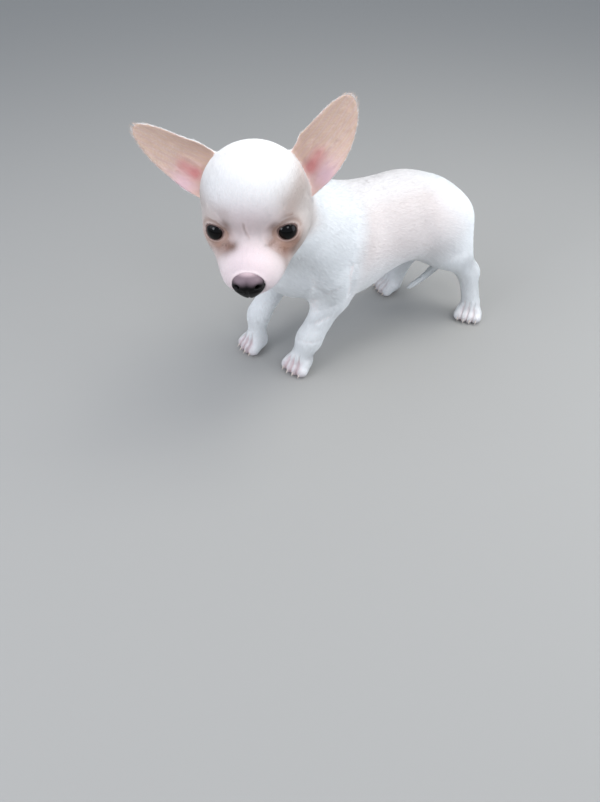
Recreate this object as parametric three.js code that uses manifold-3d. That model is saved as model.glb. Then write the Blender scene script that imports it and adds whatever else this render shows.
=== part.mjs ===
// A smooth-coated chihuahua puppy, about eight weeks old, standing with its head turned to its left.
// Life size, in millimetres. +Z is up, the body faces -Y and the puppy's own left is +X.
// The origin is on the ground, in the middle of the box round the puppy.
import * as THREE from "three";
import { mergeVertices } from "three/addons/utils/BufferGeometryUtils.js";
import Module from "manifold-3d";

const wasm = await Module();
wasm.setup();

const v = (x, y, z) => new THREE.Vector3(x, y, z);
const radians = THREE.MathUtils.degToRad;

// Driving dimensions of the trunk: half sizes, middle and tip of each mass, with the ground at z = 0.
const CHEST = { half: v(29, 42, 37), at: v(0, -12, 76), tip: 3 };
const LOIN = { half: v(27, 40, 29.5), at: v(0, 30, 81), tip: -5 };
const RUMP = { half: v(22, 26, 23), at: v(0, 59, 75), tip: -24 };
const NECK = { base: v(4, -37, 91), top: v(19, -66, 119), baseRadius: 26.5, topRadius: 21 };

// The head has its own frame: the origin is in the middle of the skull, and it faces its own -Y.
const HEAD = { at: v(26, -80.9, 134.2), turn: 55.5, drop: 10.7, roll: -3.3 };
const SKULL = { half: v(26.4, 25, 23.8), at: v(0, 1, 0.8) };
const EYE = {
  at: v(16, -15.4, -7.2), radius: 6.6, lid: 1,
  look: v(0.3, -0.85, 0.42), halfWidth: 4.4, halfHeight: 3.7,
};
const NOSE = { at: v(0, -42.1, -17.1), half: v(8.2, 5, 6.3), nostril: v(1.5, 2.6, 1.5) };
const MOUTH = { line: 0.8, corner: v(12.5, -17, -21), middle: v(0, -40, -25) };
const EAR = {
  length: 41.2, halfWidth: 13, thickness: 1.5,
  medialRoot: v(19, 11, 16.5), lateralRoot: v(27, 3, -4),
};
const EAR_POSE = {
  left: { side: 1, lean: 38, sweep: 20, turn: 0 },
  right: { side: -1, lean: 59, sweep: 13, turn: 0 },
};

// The tail hangs behind the rump and is tucked forward between the hind legs.
const TAIL_ROUTE = [
  v(0, 70, 84), v(0, 85.5, 76), v(0, 86.5, 60), v(0, 82.5, 45),
  v(0, 73, 33), v(0, 61, 25.5), v(0, 50, 22),
];
const TAIL_RADIUS = { root: 5.8, tip: 2.4 };

// Limb joints from the body down to the wrist or hock, and the middle of each paw on the ground.
// A leg parts from the trunk along a plane through the fold of the armpit or the groin.
const LEGS = {
  front_left: {
    joints: [v(21.5, -31, 70), v(21.5, -30, 55), v(19, -44.5, 26), v(16.5, -48.5, 13)],
    radii: [13.5, 9.4, 7.5, 6.8],
    paw: { at: v(15.3, -49.5, 0), turn: 20, halfWidth: 9, length: 19 },
    fold: { at: v(23, -32, 48), normal: v(0.66, 0, -0.75) },
  },
  front_right: {
    joints: [v(-20, -38, 70), v(-20, -42, 54), v(-19, -61, 27), v(-18.5, -64, 13)],
    radii: [13.5, 9.2, 6.8, 6.2],
    paw: { at: v(-18.8, -65.5, 0), turn: 8, halfWidth: 8.4, length: 19 },
    fold: { at: v(-23, -42, 48), normal: v(-0.66, 0, -0.75) },
  },
  hind_left: {
    joints: [v(14, 59, 72), v(19.5, 65, 58), v(23.5, 80.8, 38), v(27, 86.3, 14)],
    radii: [16, 12.2, 6.7, 6.3],
    paw: { at: v(28, 86, 0), turn: 40, halfWidth: 8.6, length: 19 },
    fold: { at: v(22, 70, 54), normal: v(0.6, 0, -0.8) },
  },
  hind_right: {
    joints: [v(-15, 58, 72), v(-21, 50, 58), v(-25, 69, 34), v(-28, 60, 13)],
    radii: [16, 12.2, 6.8, 6.3],
    paw: { at: v(-29, 55.5, 0), turn: -6, halfWidth: 8.6, length: 19 },
    fold: { at: v(-22, 56, 54), normal: v(-0.6, 0, -0.8) },
  },
};
const WRIST_HEIGHT = 17;
const CLAW_RADIUS = 1.2;
const GAP = 0.3;
const SHORTEST_EDGE = 0.06;

const COAT = { color: "#efe6da", roughness: 0.95 };
const EAR_SKIN = { color: "#e6bfae", roughness: 0.85 };
const NOSE_LEATHER = { color: "#3a2c2d", roughness: 0.5 };
const EYEBALL = { color: "#120d0c", roughness: 0.08 };

// Masses of flesh. Each is a function of a point that gives a signed distance, negative inside.

function ball(centre, radius) {
  return (p) => p.distanceTo(centre) - radius;
}

function egg(centre, half, turn = new THREE.Euler()) {
  const back = new THREE.Quaternion().setFromEuler(turn).invert();
  const smallest = Math.min(half.x, half.y, half.z);
  const q = v(0, 0, 0);
  return (p) => {
    q.copy(p).sub(centre).applyQuaternion(back).divide(half);
    const size = q.length();
    const slope = q.divide(half).length();
    return size < 1e-6 ? -smallest : (size * (size - 1)) / slope;
  };
}

function limb(from, to, fromRadius, toRadius) {
  const run = to.clone().sub(from);
  const q = v(0, 0, 0);
  return (p) => {
    const along = THREE.MathUtils.clamp(q.copy(p).sub(from).dot(run) / run.lengthSq(), 0, 1);
    return q.addScaledVector(run, -along).length() - THREE.MathUtils.lerp(fromRadius, toRadius, along);
  };
}

// Two distances joined with a fillet about as wide as reach.
function soften(a, b, reach) {
  const near = Math.max(reach - Math.abs(a - b), 0) / reach;
  return Math.min(a, b) - (near * near * reach) / 4;
}

function flesh(masses, reach) {
  return (p) => masses.reduce((sum, mass) => soften(sum, mass(p), reach), 1e3);
}

function mirrored(point, side) {
  return v(point.x * side, point.y, point.z);
}

// The same mass on the left and on the right of the middle plane.
function pair(make) {
  return [make(1), make(-1)];
}

function trunkFlesh() {
  const barrel = ({ half, at, tip }) => egg(at, half, new THREE.Euler(radians(tip), 0, 0));
  const breast = limb(v(1, -30, 80), v(4, -48, 75), 27, 20);
  const blade = (side) => egg(v(18 * side, -24, 84), v(13, 19, 27), new THREE.Euler(0.35, 0.12 * side, 0));
  const haunch = (side) => egg(v(14 * side, 60, 70), v(13, 18, 23), new THREE.Euler(-0.2, 0.15 * side, 0));
  return flesh([barrel(CHEST), barrel(LOIN), barrel(RUMP), breast, ...pair(blade), ...pair(haunch)], 12);
}

function headFlesh() {
  const cranium = egg(SKULL.at, SKULL.half);
  const forehead = ball(v(0, -7.5, 6), 18);
  const brows = pair((side) => ball(v(11 * side, -13.5, 1), 7));
  const cheeks = pair((side) => egg(v(15.5 * side, -8, -12), v(10.5, 14, 11)));
  const jowls = pair((side) => egg(v(9 * side, -21, -17), v(9.5, 12, 8.5)));
  const muzzle = limb(v(0, -19, -15.5), v(0, -34, -16.5), 11.2, 9.4);
  const lips = pair((side) => egg(v(7 * side, -31, -19), v(7.2, 11, 6.8)));
  const jaw = limb(v(0, -6, -21), v(0, -31.5, -25.5), 12, 6.3);
  const broad = flesh([cranium, forehead, ...brows, ...cheeks, ...jowls, muzzle, ...lips, jaw], 7);
  const lids = flesh(pair((side) => ball(mirrored(EYE.at, side), EYE.radius + EYE.lid)), 1);
  return (p) => soften(broad(p), lids(p), 3);
}

function legFlesh({ joints, radii }) {
  return flesh(
    joints.slice(1).map((joint, i) => limb(joints[i], joint, radii[i], radii[i + 1])),
    6,
  );
}

// Each toe's place across the paw, in toe widths from the middle.
const TOES = [-1.5, -0.5, 0.5, 1.5];

function pawPlace({ at, turn }) {
  return (x, y, z) => v(x, y, z).applyAxisAngle(v(0, 0, 1), radians(turn)).add(at);
}

function toeReach({ length }, toe) {
  return length * (0.36 - 0.055 * Math.abs(toe));
}

function pawFlesh(paw) {
  const place = pawPlace(paw);
  const palmHalf = v(paw.halfWidth * 0.84, paw.length * 0.4, 7);
  const palm = egg(place(0, 2, 6), palmHalf, new THREE.Euler(0, 0, radians(paw.turn)));
  const toes = TOES.map((toe) => {
    const x = toe * paw.halfWidth * 0.5;
    return limb(place(x * 0.8, -paw.length * 0.1, 6.2), place(x, -toeReach(paw, toe), 4.2), 4.1, 3.8);
  });
  return flesh([palm, ...toes], 1.8);
}

// The whole body as one field

const headPlace = new THREE.Matrix4().makeRotationFromEuler(
  new THREE.Euler(radians(HEAD.drop), radians(HEAD.roll), radians(HEAD.turn), "ZXY"),
);
headPlace.setPosition(HEAD.at);
const intoHead = headPlace.clone().invert();
const trunkField = trunkFlesh();
const neckField = limb(NECK.base, NECK.top, NECK.baseRadius, NECK.topRadius);
const headField = headFlesh();
const limbFields = Object.values(LEGS).map((leg) => {
  const shank = legFlesh(leg);
  const paw = pawFlesh(leg.paw);
  return (p) => soften(shank(p), paw(p), 5);
});

function bodyField(p) {
  let distance = soften(trunkField(p), neckField(p), 16);
  distance = soften(distance, headField(p.clone().applyMatrix4(intoHead)), 9);
  for (const limbField of limbFields) distance = soften(distance, limbField(p), 9);
  return distance;
}

function grown(field, by) {
  return (p) => field(p) - by;
}

// Solids and meshes

function solidFrom(geometry) {
  const bare = new THREE.BufferGeometry().setAttribute("position", geometry.getAttribute("position"));
  if (geometry.index) bare.setIndex(geometry.index);
  const merged = mergeVertices(bare, 1e-4);
  return new wasm.Manifold(
    new wasm.Mesh({
      numProp: 3,
      vertProperties: new Float32Array(merged.attributes.position.array),
      triVerts: new Uint32Array(merged.index.array),
    }),
  );
}

// The mesh of a solid, with the ends of every edge shorter than SHORTEST_EDGE made one point.
// Two faces that this lays flat on each other are both left out.
function geometryFrom(solid) {
  const mesh = solid.getMesh();
  const coordinates = mesh.vertProperties;
  const points = Array.from({ length: mesh.numVert }, (_, i) => v(0, 0, 0).fromArray(coordinates, i * 3));
  const kept = points.map((_, i) => i);
  const keeper = (i) => (kept[i] === i ? i : keeper(kept[i]));
  const corners = Array.from(mesh.triVerts);
  corners.forEach((from, i) => {
    const to = corners[i % 3 === 2 ? i - 2 : i + 1];
    if (points[from].distanceTo(points[to]) < SHORTEST_EDGE) kept[keeper(to)] = keeper(from);
  });
  const faces = new Map();
  for (let i = 0; i < corners.length; i += 3) {
    const face = corners.slice(i, i + 3).map(keeper);
    const key = [...face].sort().join();
    if (new Set(face).size < 3) continue;
    if (!faces.delete(key)) faces.set(key, face);
  }
  const geometry = new THREE.BufferGeometry().setFromPoints(points);
  geometry.setIndex([...faces.values()].flat());
  return mergeVertices(geometry, 1e-4);
}

function largest(solid) {
  return solid.decompose().reduce((best, piece) => (piece.volume() > best.volume() ? piece : best));
}

// A large block whose flat face passes through a point, on the side that the normal points to.
function beyond(point, normal, shift = 0) {
  const size = 600;
  const turn = new THREE.Quaternion().setFromUnitVectors(v(0, 0, 1), normal.clone().normalize());
  const block = new THREE.BoxGeometry(size, size, size).translate(0, 0, size / 2 + shift);
  return solidFrom(block.applyQuaternion(turn).translate(point.x, point.y, point.z));
}

// Lines of a grid from low to high, each step as long as the cell wanted there.
function gridLines(low, high, cellAt) {
  const lines = [low];
  while (lines.at(-1) < high) lines.push(lines.at(-1) + cellAt(lines.at(-1)));
  return lines;
}

function evenGrid(low, high, cell) {
  return ["x", "y", "z"].map((k) => gridLines(low[k], high[k], () => cell));
}

// Moves a point onto the skin of a field, along its slope.
function drawOnto(field, p) {
  const h = 0.05;
  for (let step = 0; step < 4; step += 1) {
    const slope = v(
      field(v(p.x + h, p.y, p.z)) - field(v(p.x - h, p.y, p.z)),
      field(v(p.x, p.y + h, p.z)) - field(v(p.x, p.y - h, p.z)),
      field(v(p.x, p.y, p.z + h)) - field(v(p.x, p.y, p.z - h)),
    ).divideScalar(2 * h);
    p.addScaledVector(slope, THREE.MathUtils.clamp(-field(p) / Math.max(slope.lengthSq(), 0.3), -1, 1));
  }
  return p;
}

// The skin of a field over a grid of boxes: a point in each box that it crosses,
// and a face round each crossed edge.
function net(field, [xs, ys, zs]) {
  const counts = [xs.length, ys.length, zs.length];
  const index = (i, j, k) => i + counts[0] * (j + counts[1] * k);
  const eachBox = (visit) => {
    for (let k = 0; k < counts[2] - 1; k += 1) {
      for (let j = 0; j < counts[1] - 1; j += 1) {
        for (let i = 0; i < counts[0] - 1; i += 1) visit(i, j, k);
      }
    }
  };
  const values = new Map();
  const valueAt = (i, j, k) => {
    const key = index(i, j, k);
    if (!values.has(key)) {
      const rim = i * j * k === 0 || i === counts[0] - 1 || j === counts[1] - 1 || k === counts[2] - 1;
      const distance = field(v(xs[i], ys[j], zs[k]));
      values.set(key, rim ? Math.max(distance, 0.5) : distance);
    }
    return values.get(key);
  };
  const corners = [0, 1, 2, 3, 4, 5, 6, 7].map((c) => [c & 1, (c >> 1) & 1, (c >> 2) & 1]);
  const edges = corners.flatMap((_, c) => [1, 2, 4].filter((bit) => !(c & bit)).map((bit) => [c, c | bit]));
  const pointOf = new Map();
  const points = [];
  eachBox((i, j, k) => {
    const sum = v(0, 0, 0);
    let crossings = 0;
    let free = true;
    for (const [from, to] of edges) {
      const [a, b] = [from, to].map((c) => corners[c].map((step, axis) => [i, j, k][axis] + step));
      const [da, db] = [valueAt(...a), valueAt(...b)];
      if (da < 0 === db < 0) continue;
      const start = v(xs[a[0]], ys[a[1]], zs[a[2]]);
      sum.add(start.lerp(v(xs[b[0]], ys[b[1]], zs[b[2]]), da / (da - db)));
      crossings += 1;
      free = free && [a, b].every((c) => c.every((n, axis) => n > 0 && n < counts[axis] - 1));
    }
    if (crossings === 0) return;
    sum.divideScalar(crossings);
    pointOf.set(index(i, j, k), points.length);
    points.push(free ? drawOnto(field, sum) : sum);
  });
  const faces = [];
  eachBox((i, j, k) => {
    const inside = valueAt(i, j, k) < 0;
    const at = (di, dj, dk) => pointOf.get(index(i - di, j - dj, k - dk));
    const quad = (a, b, c, d) => faces.push(...(inside ? [a, b, c, a, c, d] : [a, c, b, a, d, c]));
    if (inside !== valueAt(i + 1, j, k) < 0) quad(at(0, 0, 0), at(0, 1, 0), at(0, 1, 1), at(0, 0, 1));
    if (inside !== valueAt(i, j + 1, k) < 0) quad(at(0, 0, 0), at(0, 0, 1), at(1, 0, 1), at(1, 0, 0));
    if (inside !== valueAt(i, j, k + 1) < 0) quad(at(0, 0, 0), at(1, 0, 0), at(1, 1, 0), at(0, 1, 0));
  });
  const geometry = new THREE.BufferGeometry().setFromPoints(points);
  geometry.setIndex(faces);
  return geometry;
}

// A closed surface through rings of equal count, with a point at each end.
function ringSurface(rings, firstPole, lastPole) {
  const sides = rings[0].length;
  const points = [firstPole, ...rings.flat(), lastPole];
  const at = (ring, side) => 1 + ring * sides + (side % sides);
  const faces = [];
  for (let s = 0; s < sides; s += 1) {
    faces.push(0, at(0, s + 1), at(0, s));
    faces.push(points.length - 1, at(rings.length - 1, s), at(rings.length - 1, s + 1));
    for (let r = 0; r + 1 < rings.length; r += 1) {
      faces.push(at(r, s), at(r, s + 1), at(r + 1, s + 1));
      faces.push(at(r, s), at(r + 1, s + 1), at(r + 1, s));
    }
  }
  const geometry = new THREE.BufferGeometry().setFromPoints(points);
  geometry.setIndex(faces);
  return geometry;
}

// A tapering round length of flesh along a curve.
function taperedTube(curve, rings, sides, radiusAt) {
  const frames = curve.computeFrenetFrames(rings - 1);
  const made = Array.from({ length: rings }, (_, r) => {
    const t = r / (rings - 1);
    return Array.from({ length: sides }, (__, s) => {
      const angle = (2 * Math.PI * s) / sides;
      return curve
        .getPointAt(t)
        .addScaledVector(frames.normals[r], radiusAt(t) * Math.cos(angle))
        .addScaledVector(frames.binormals[r], radiusAt(t) * Math.sin(angle));
    });
  });
  const tip = curve.getPointAt(1).addScaledVector(curve.getTangentAt(1), radiusAt(1) * 0.8);
  return solidFrom(ringSurface(made, curve.getPointAt(0), tip));
}

// Head

function inHead(geometry) {
  return solidFrom(geometry.applyMatrix4(headPlace));
}

// Fine over the face, coarser over the back of the skull and the throat.
function headGrid() {
  const face = 2.6;
  const skull = 4;
  const half = 36;
  return [
    gridLines(-half, half, () => 2.7),
    gridLines(-54, half, (y) => (y < -8 ? face : skull)),
    gridLines(-46, half, (z) => (z > -28 && z < 0 ? face : skull)),
  ];
}

function headSkin(by = 0) {
  const field = (p) => bodyField(p.clone().applyMatrix4(headPlace)) - by;
  return inHead(net(field, headGrid()));
}

function eyeball(side, spare = 0) {
  const centre = mirrored(EYE.at, side);
  return inHead(new THREE.SphereGeometry(EYE.radius + spare, 18, 12).translate(centre.x, centre.y, centre.z));
}

// The almond opening between the lids, as a short column along the line of sight.
function lidOpening(side) {
  const { halfWidth: a, halfHeight: b } = EYE;
  const almond = new THREE.Shape().moveTo(-a, 0).bezierCurveTo(-a * 0.65, b * 1.3, a * 0.5, b * 1.4, a, 0);
  almond.bezierCurveTo(a * 0.5, -b * 1.3, -a * 0.65, -b * 1.3, -a, 0);
  const column = new THREE.ExtrudeGeometry(almond, { depth: 16, bevelEnabled: false, curveSegments: 6 });
  const look = new THREE.Matrix4().lookAt(mirrored(EYE.look, side), v(0, 0, 0), v(0, 0, 1));
  return inHead(column.applyMatrix4(look.setPosition(mirrored(EYE.at, side))));
}

function noseBlank(spare = 0) {
  const { at, half } = NOSE;
  const pad = new THREE.SphereGeometry(1, 18, 12).rotateX(Math.PI / 2);
  pad.scale(half.x + spare, half.y + spare, half.z + spare);
  return inHead(pad.translate(at.x, at.y, at.z));
}

function nostril(side) {
  const { at, half, nostril: hole } = NOSE;
  const cutter = new THREE.SphereGeometry(1, 8, 6).scale(hole.x, hole.y, hole.z).rotateY(0.5 * side);
  return inHead(cutter.translate(at.x + half.x * 0.5 * side, at.y - half.y * 0.82, at.z + 1.2));
}

// The line of the closed mouth: a groove that follows the skin from one corner round to the other,
// with a short groove from its middle up to the nose.
function mouthLine() {
  const onSkin = (p) => drawOnto((q) => bodyField(q.clone().applyMatrix4(headPlace)), p);
  const halfLine = [0.14, 0.4, 0.7, 1].map((t) => {
    const p = MOUTH.middle.clone().lerp(MOUTH.corner, t);
    p.x = MOUTH.corner.x * Math.sin((t * Math.PI) / 2);
    return p;
  });
  const left = halfLine.map((p) => onSkin(p.clone()));
  const right = halfLine.map((p) => onSkin(mirrored(p, -1))).reverse();
  const curve = new THREE.CatmullRomCurve3([...right, onSkin(MOUTH.middle.clone()), ...left]);
  const line = taperedTube(curve, 21, 6, (t) => MOUTH.line * (0.35 + 0.65 * Math.sin(Math.PI * t) ** 0.5));
  const nose = NOSE.at.clone().add(v(0, -1, -NOSE.half.z * 0.9));
  const cleft = new THREE.CatmullRomCurve3([onSkin(nose), onSkin(MOUTH.middle.clone())]);
  return line.add(taperedTube(cleft, 3, 6, () => MOUTH.line * 0.7)).transform(headPlace.elements);
}

function makeHead() {
  let head = headSkin();
  for (const side of [1, -1]) {
    head = head.subtract(lidOpening(side)).subtract(eyeball(side, GAP));
  }
  head = head.subtract(noseBlank(GAP)).subtract(mouthLine());
  return head.subtract(beyond(NECK_CUT.at, NECK_CUT.normal.clone().negate(), -GAP / 2));
}

function makeNose() {
  return noseBlank().subtract(nostril(1)).subtract(nostril(-1));
}

// Ear: a tapering leaf, hollowed to the front, whose root closes round the canal on the side of the skull.

function earFrame({ side, lean, sweep, turn }) {
  const outward = Math.sin(radians(lean)) * side;
  const axis = v(outward, Math.sin(radians(sweep)), Math.cos(radians(lean))).normalize();
  const front = v(0, -1, 0).projectOnPlane(axis).normalize().applyAxisAngle(axis, radians(turn));
  const across = axis.clone().cross(front).multiplyScalar(side);
  return { axis, front, across };
}

function makeEar(pose, headBlank) {
  const { axis, front, across } = earFrame(pose);
  const medial = mirrored(EAR.medialRoot, pose.side);
  const lateral = mirrored(EAR.lateralRoot, pose.side);
  const rootWidth = medial.distanceTo(lateral) / 2;
  const rootLine = lateral.clone().sub(medial).normalize();
  const centre = medial.clone().lerp(lateral, 0.5);
  const steps = 9;
  const leaf = (t) => {
    const rise = Math.max(t, 0);
    const breadth = THREE.MathUtils.lerp(rootWidth, EAR.halfWidth, THREE.MathUtils.smoothstep(t, 0, 0.3));
    const half = breadth * (1 - rise ** 2.4) ** 0.6;
    const wrap = radians(THREE.MathUtils.lerp(74, 24, Math.min(rise * 1.2, 1) ** 0.7));
    const radius = half / Math.sin(wrap);
    const line = rootLine.clone().lerp(across, THREE.MathUtils.smoothstep(t, 0, 0.45)).normalize();
    const middle = centre.clone().addScaledVector(axis, EAR.length * t);
    middle.addScaledVector(front, -6 * rise * (1 - rise));
    middle.addScaledVector(across, 2.4 * Math.sin(Math.PI * rise));
    const face = front.clone().projectOnPlane(line).normalize();
    const arc = (s, r) =>
      middle
        .clone()
        .addScaledVector(line, r * Math.sin(wrap * s))
        .addScaledVector(face, radius * Math.cos(wrap) - r * Math.cos(wrap * s));
    const stations = Array.from({ length: steps }, (_, i) => -1 + (2 * i) / (steps - 1));
    const thick = (s) => EAR.thickness * (0.45 + 0.55 * Math.sqrt(1 - s * s * 0.98));
    const inner = stations.map((s) => arc(s, radius));
    const outer = stations.map((s) => arc(s, radius + thick(s))).reverse();
    return [...inner, ...outer];
  };
  const heights = [-0.26, -0.13, 0, 0.1, 0.2, 0.3, 0.4, 0.5, 0.6, 0.7, 0.79, 0.87, 0.93, 0.97];
  const rings = heights.map(leaf);
  const mean = (ring) => ring.reduce((sum, p) => sum.add(p), v(0, 0, 0)).divideScalar(ring.length);
  const tip = centre.clone().addScaledVector(axis, EAR.length).addScaledVector(front, -0.5);
  const order = pose.side > 0 ? rings : rings.map((ring) => [...ring].reverse());
  const blank = inHead(ringSurface(order, mean(rings[0]), tip));
  return largest(blank.subtract(headBlank));
}

// Body

const NECK_CUT = { at: v(17, -64, 118), normal: v(0.3, -0.55, 0.78) };
const WITHERS_CUT = { at: v(4, -38, 97), normal: v(0.3, -0.45, 0.84) };

// The space below a leg's fold, on its own side of the belly.
function legSpace({ fold }, shift) {
  const side = Math.sign(fold.at.x);
  return beyond(fold.at, fold.normal, shift)
    .subtract(beyond(v(1 * side, 0, 0), v(-side, 0, 0)))
    .subtract(beyond(fold.at.clone().add(v(0, 40, 0)), v(0, 1, 0)))
    .subtract(beyond(fold.at.clone().add(v(0, -45, 0)), v(0, -1, 0)));
}

function makeTorso() {
  let torso = solidFrom(net(bodyField, evenGrid(v(-48, -100, 26), v(56, 116, 140), 5.4)));
  torso = torso.subtract(beyond(WITHERS_CUT.at, WITHERS_CUT.normal, -GAP / 2));
  for (const leg of Object.values(LEGS)) torso = torso.subtract(legSpace(leg, -GAP / 2));
  return largest(torso);
}

function makeNeck() {
  const skin = solidFrom(net(bodyField, evenGrid(v(-48, -120, 50), v(66, 10, 160), 5.4)));
  const above = skin.subtract(beyond(WITHERS_CUT.at, WITHERS_CUT.normal.clone().negate(), -GAP / 2));
  return largest(above.subtract(beyond(NECK_CUT.at, NECK_CUT.normal, -GAP / 2)));
}

function makeLeg(leg) {
  const reach = v(34, 44, 0);
  const low = leg.fold.at.clone().sub(reach).setZ(WRIST_HEIGHT - 8);
  const high = leg.fold.at.clone().add(reach).setZ(86);
  const skin = solidFrom(net(bodyField, evenGrid(low, high, 4.2)));
  const below = skin.intersect(legSpace(leg, GAP / 2));
  return largest(below.subtract(beyond(v(0, 0, WRIST_HEIGHT + GAP / 2), v(0, 0, -1))));
}

// A short claw that stands forward and down out of the tip of its toe.
function claw(place, paw, toe) {
  const root = place(toe * paw.halfWidth * 0.5, -toeReach(paw, toe) - 1.8, 3.9);
  const tip = place(toe * paw.halfWidth * 0.52, -toeReach(paw, toe) - 5.4, 1.9);
  const cone = new THREE.ConeGeometry(CLAW_RADIUS, root.distanceTo(tip), 6);
  const turn = new THREE.Quaternion().setFromUnitVectors(v(0, 1, 0), tip.clone().sub(root).normalize());
  const middle = root.lerp(tip, 0.5);
  return solidFrom(cone.applyQuaternion(turn).translate(middle.x, middle.y, middle.z));
}

function makePaw({ paw }) {
  const reach = v(15, 18, 0);
  const low = paw.at.clone().sub(reach).setZ(-4);
  const high = paw.at.clone().add(reach).setZ(WRIST_HEIGHT + 6);
  const skin = solidFrom(net(bodyField, evenGrid(low, high, 2.5)));
  const place = pawPlace(paw);
  const clawed = TOES.reduce((solid, toe) => solid.add(claw(place, paw, toe)), skin);
  const onGround = clawed.subtract(beyond(v(0, 0, 0), v(0, 0, -1)));
  return largest(onGround.subtract(beyond(v(0, 0, WRIST_HEIGHT - GAP / 2), v(0, 0, 1))));
}

function makeTail() {
  const curve = new THREE.CatmullRomCurve3(TAIL_ROUTE);
  const tail = taperedTube(curve, 20, 10, (t) => THREE.MathUtils.lerp(TAIL_RADIUS.root, TAIL_RADIUS.tip, t));
  const rump = net(grown(bodyField, GAP), evenGrid(v(-40, 30, 10), v(40, 116, 112), 4.5));
  return largest(tail.subtract(solidFrom(rump)));
}

// Puppy

const puppy = new THREE.Group();

function add(name, solid, finish) {
  const material = new THREE.MeshStandardMaterial({ ...finish, metalness: 0 });
  const mesh = new THREE.Mesh(geometryFrom(solid), material);
  mesh.name = name;
  puppy.add(mesh);
}

const headBlank = headSkin(GAP);
add("head", largest(makeHead()), COAT);
add("nose", makeNose(), NOSE_LEATHER);
add("neck", makeNeck(), COAT);
add("torso", makeTorso(), COAT);
add("tail", makeTail(), COAT);
for (const [name, pose] of Object.entries(EAR_POSE)) {
  add(`ear_${name}`, makeEar(pose, headBlank), EAR_SKIN);
  add(`eye_${name}`, eyeball(pose.side), EYEBALL);
}
for (const [name, leg] of Object.entries(LEGS)) {
  add(`${name}_leg`, makeLeg(leg), COAT);
  add(`${name}_paw`, makePaw(leg), COAT);
}

const box = new THREE.Box3().setFromObject(puppy);
puppy.position.sub(box.getCenter(v(0, 0, 0)).setZ(box.min.z));

export default puppy;
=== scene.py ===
"""Looks of a smooth-coated chihuahua puppy, about eight weeks old, standing with its head turned."""

import math

import bmesh
import bpy
import numpy as np
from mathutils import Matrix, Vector
from mathutils.bvhtree import BVHTree


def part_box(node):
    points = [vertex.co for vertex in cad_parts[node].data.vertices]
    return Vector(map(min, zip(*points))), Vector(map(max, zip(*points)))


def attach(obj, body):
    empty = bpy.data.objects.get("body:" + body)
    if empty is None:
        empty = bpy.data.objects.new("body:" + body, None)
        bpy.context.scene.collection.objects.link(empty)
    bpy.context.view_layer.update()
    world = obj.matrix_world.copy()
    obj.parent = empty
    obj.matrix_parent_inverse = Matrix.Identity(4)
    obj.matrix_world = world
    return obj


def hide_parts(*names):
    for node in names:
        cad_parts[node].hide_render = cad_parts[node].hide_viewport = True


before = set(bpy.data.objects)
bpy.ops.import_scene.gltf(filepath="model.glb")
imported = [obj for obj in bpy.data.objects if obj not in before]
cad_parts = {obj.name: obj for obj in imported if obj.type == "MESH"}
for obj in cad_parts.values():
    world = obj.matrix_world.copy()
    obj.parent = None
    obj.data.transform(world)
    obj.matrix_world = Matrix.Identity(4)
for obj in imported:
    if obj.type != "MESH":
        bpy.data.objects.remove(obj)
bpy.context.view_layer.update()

# Skin: the loose hide of a young puppy, pink under a white coat, in one sheet over all the flesh.
# It is drawn from the solids of the flesh, joined and rounded, and lies under them by the coat's depth.
# Sizes are in millimetres here and in all that follows. The solids are swollen until they touch, and the
# share of that swelling which is left after the rounding is taken off again.
MM = 0.001
PAWS = ["front_left", "front_right", "hind_left", "hind_right"]
FLESH = ["head", "neck", "torso", "tail", "ear_left", "ear_right"]
FLESH += [f"{paw}_{part}" for paw in PAWS for part in ("leg", "paw")]
SWELL = 0.3
SWELL_LEFT = 0.6
VOXEL = 0.7
BLEND_ROUNDS = 12
ROUNDING_ROUNDS = 36
SOCKET_FILLINGS = {"eye_left": 1.12, "eye_right": 1.12, "nose": 0.97}
ROUNDING = {"torso": 0.5, "neck": 0.5, "head": 0.2, "tail": 0.2, "ear": 0.1, "leg": 0.35, "paw": 0.14}
COAT_DEPTH = {"torso": 0.6, "neck": 0.6, "head": 0.35, "tail": 0.35, "ear": 0.1, "leg": 0.4, "paw": 0.2}


def middle(node):
    low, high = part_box(node)
    return np.array(low + high) / 2 / MM


# The puppy's own plan is tied to the frame by the eyes.
EYES_MIDDLE = np.array([37.606, -88.374, 124.278])
PLAN = (middle("eye_left") + middle("eye_right")) / 2 - EYES_MIDDLE

# The head's own axes: x to its left, y to its back and z up, from the middle of the skull.
EYE = np.array([16.0, -15.4, -7.2])
NOSE = np.array([0.0, -42.1, -17.1])


def unit(vectors):
    return vectors / np.maximum(np.linalg.norm(vectors, axis=-1, keepdims=True), 1e-9)


def head_axes():
    left, right, nose = (middle(node) - PLAN for node in ("eye_left", "eye_right", "nose"))
    x = unit(left - right)
    between = (left + right) / 2
    ahead = nose - between
    ahead = unit(ahead - ahead.dot(x) * x)
    c, s = unit((EYE - NOSE)[1:])
    side = np.cross(x, ahead)
    y = s * side - c * ahead
    z = -s * ahead - c * side
    return between - EYE[1] * y - EYE[2] * z, np.array([x, y, z])


HEAD_AT, HEAD_AXES = head_axes()


def in_head(points):
    return (points - HEAD_AT) @ HEAD_AXES.T


def from_head(points):
    return points @ HEAD_AXES + HEAD_AT


# Each paw's own axes: x across it, y to its back, from the middle of the wrist's foot.
PAW = {
    "front_left": {"at": (15.3, -49.5, 0), "turn": 20, "half_width": 9.0, "length": 19},
    "front_right": {"at": (-18.8, -65.5, 0), "turn": 8, "half_width": 8.4, "length": 19},
    "hind_left": {"at": (28, 86, 0), "turn": 40, "half_width": 8.6, "length": 19},
    "hind_right": {"at": (-29, 55.5, 0), "turn": -6, "half_width": 8.6, "length": 19},
}
TOES = (-1.5, -0.5, 0.5, 1.5)


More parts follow.
